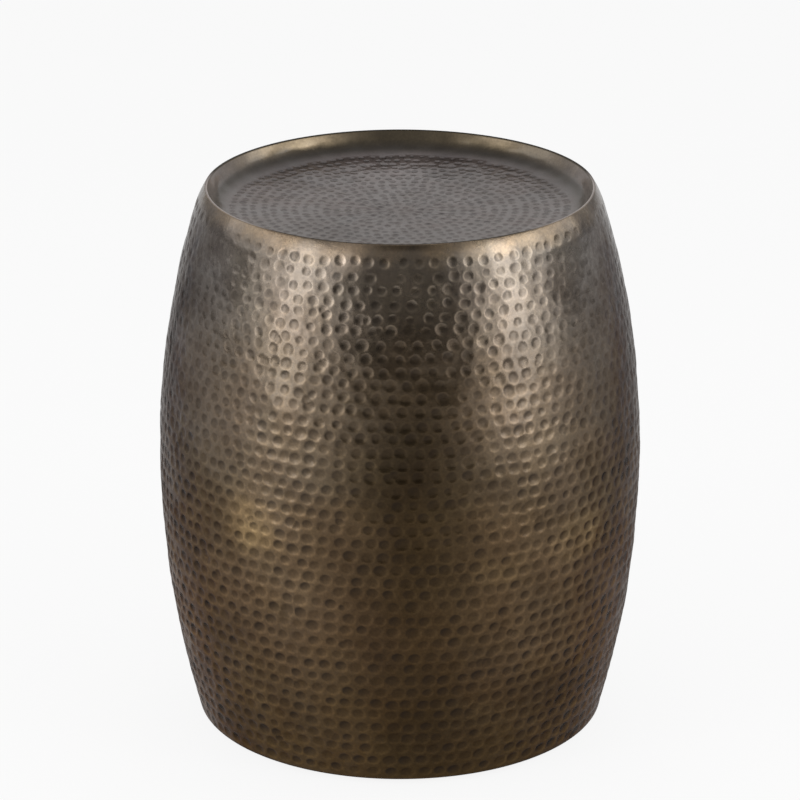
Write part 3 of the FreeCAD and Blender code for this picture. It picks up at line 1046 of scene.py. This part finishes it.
def nylon():
    m = Material("glide_nylon")
    colour = m.mix(m.mottle(0, 1, 120, 3, 0.6), grey(0.018), rgb(0.032, 0.031, 0.030))
    rough = m.mottle(0.5, 0.65, 220, 3, 0.6)
    normal = m.bump(m.noise(600, 3, 0.6), 0.0001, 0.3)
    return m.finish(Base_Color=colour, Roughness=rough, Normal=normal)


# ---------------- studio

def floor():
    """A white floor, which is clear from below."""
    m = Material("studio_floor")
    shade = m.mix(m.mottle(0, 1, 2, 2, 0.5), grey(0.88), grey(0.90))
    diffuse = m.add("ShaderNodeBsdfDiffuse", {"Color": shade}).outputs[0]
    glow = m.add("ShaderNodeEmission", {"Color": grey(1), "Strength": 1.0}).outputs[0]
    ray = m.add("ShaderNodeLightPath").outputs
    seen = m.math("MAXIMUM", ray["Is Camera Ray"], ray["Is Glossy Ray"])
    seen = m.math("MAXIMUM", seen, ray["Is Transmission Ray"])
    white = m.add("ShaderNodeMixShader", {0: m.times(seen, FLOOR_GLOW), 1: diffuse, 2: glow}).outputs[0]
    clear = m.add("ShaderNodeBsdfTransparent").outputs[0]
    below = m.add("ShaderNodeNewGeometry").outputs["Backfacing"]
    both = m.add("ShaderNodeMixShader", {0: below, 1: white, 2: clear}).outputs[0]
    m.tree.links.new(both, m.output.inputs["Surface"])
    mesh = bpy.data.meshes.new("floor")
    square = ((-1, -1), (1, -1), (1, 1), (-1, 1))
    mesh.from_pydata([(x * FLOOR_REACH, y * FLOOR_REACH, 0) for x, y in square], [], [(0, 1, 2, 3)])
    mesh.materials.append(m.data)
    plane = shown("floor", mesh)


def soft_box(name, degrees, width, bottom, top, radiance):
    """Lamp with a broad face towards the table, so many degrees to the right of the front."""
    turn = math.radians(degrees)
    middle = Vector((LAMP_DISTANCE * math.sin(turn), -LAMP_DISTANCE * math.cos(turn), (bottom + top) / 2))
    data = bpy.data.lights.new(name, "AREA")
    data.shape = "RECTANGLE"
    data.size = width
    data.size_y = top - bottom
    data.energy = math.pi * radiance * data.size * data.size_y
    lamp = shown(name, data)
    lamp.location = middle
    lamp.rotation_euler = (Vector((0, 0, middle.z)) - middle).to_track_quat("-Z", "Y").to_euler()
    lamp.visible_camera = False


def surroundings(front, back, ceiling):
    """Room light, dimmer on the camera's side than behind the table, and a little brighter overhead."""
    world = bpy.data.worlds.new("studio")
    world.use_nodes = True
    room = Nodes(world.node_tree)
    direction = room.add("ShaderNodeTexCoord").outputs["Generated"]
    brightest = (0, math.cos(BRIGHT_ELEVATION), math.sin(BRIGHT_ELEVATION))
    towards = room.add("ShaderNodeVectorMath", {0: direction, 1: brightest}, operation="DOT_PRODUCT")
    nearness = room.math("POWER", room.remap(towards.outputs["Value"], -0.8, 1), 3.0)
    upwards = room.add("ShaderNodeSeparateXYZ", {0: direction}).outputs["Z"]
    overhead = room.remap(upwards, 0, 0.6, 0, ceiling, interpolation_type="SMOOTHSTEP")
    strength = room.math("ADD", room.remap(nearness, 0, 1, front, back), overhead)
    background = world.node_tree.nodes["Background"].inputs
    background["Color"].default_value = grey(1)
    world.node_tree.links.new(strength, background["Strength"])
    bpy.context.scene.world = world


def camera():
    data = bpy.data.cameras.new("camera")
    data.lens = CAMERA_LENS
    data.sensor_width = 36
    eye = shown("camera", data)
    back = Vector((0, -math.cos(CAMERA_ELEVATION), math.sin(CAMERA_ELEVATION)))
    eye.location = Vector((0, 0, CAMERA_TARGET)) + CAMERA_DISTANCE * back
    eye.rotation_euler = back.to_track_quat("Z", "Y").to_euler()
    bpy.context.scene.camera = eye


# ---------------- scene

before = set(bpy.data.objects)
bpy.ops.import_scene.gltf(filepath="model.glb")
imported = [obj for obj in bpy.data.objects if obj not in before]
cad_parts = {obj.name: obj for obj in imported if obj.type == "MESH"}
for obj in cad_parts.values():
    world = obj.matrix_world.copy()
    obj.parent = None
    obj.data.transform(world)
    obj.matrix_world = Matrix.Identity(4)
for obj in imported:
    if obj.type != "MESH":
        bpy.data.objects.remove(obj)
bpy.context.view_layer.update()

hammered = side_patina()
inside = inner_patina()
pieces = {
    "upper_shell": upper_shell([hammered, inside]),
    "lower_shell": lower_shell([hammered, inside]),
    "top_dish": top_dish([dish_patina(), inside]),
}
for node, piece in pieces.items():
    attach(piece, "root")
    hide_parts(node)

kept = {
    "base_ring": plated_steel("ring_steel", rgb(0.30, 0.29, 0.28), rgb(0.20, 0.19, 0.18)),
    "glide_screws": plated_steel("screw_steel", rgb(0.52, 0.51, 0.48), rgb(0.40, 0.39, 0.37)),
    "weld_nuts": plated_steel("nut_steel", rgb(0.46, 0.45, 0.42), rgb(0.32, 0.31, 0.30)),
}
glide_material = nylon()
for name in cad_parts:
    if name.startswith("foot_glide"):
        kept[name] = glide_material
for name, finish in kept.items():
    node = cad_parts[name]
    node.data.materials.clear()
    node.data.materials.append(finish)

floor()
for layer, (breadth, radiance) in enumerate(((0.42, 3.7), (1.1, 1.5), (1.9, 0.8))):
    soft_box(f"soft_box_left_{layer}", -53, breadth, 0.15, 1.65, radiance)
    soft_box(f"soft_box_right_{layer}", 58, breadth, 0.15, 1.65, radiance)
soft_box("side_panel_left", -92, 1.3, 0.70, 1.5, 1.4)
soft_box("side_panel_right", 94, 1.3, 0.70, 1.5, 1.4)
surroundings(0.13, 0.85, 0.15)
camera()
bpy.context.scene.view_settings.view_transform = "Standard"
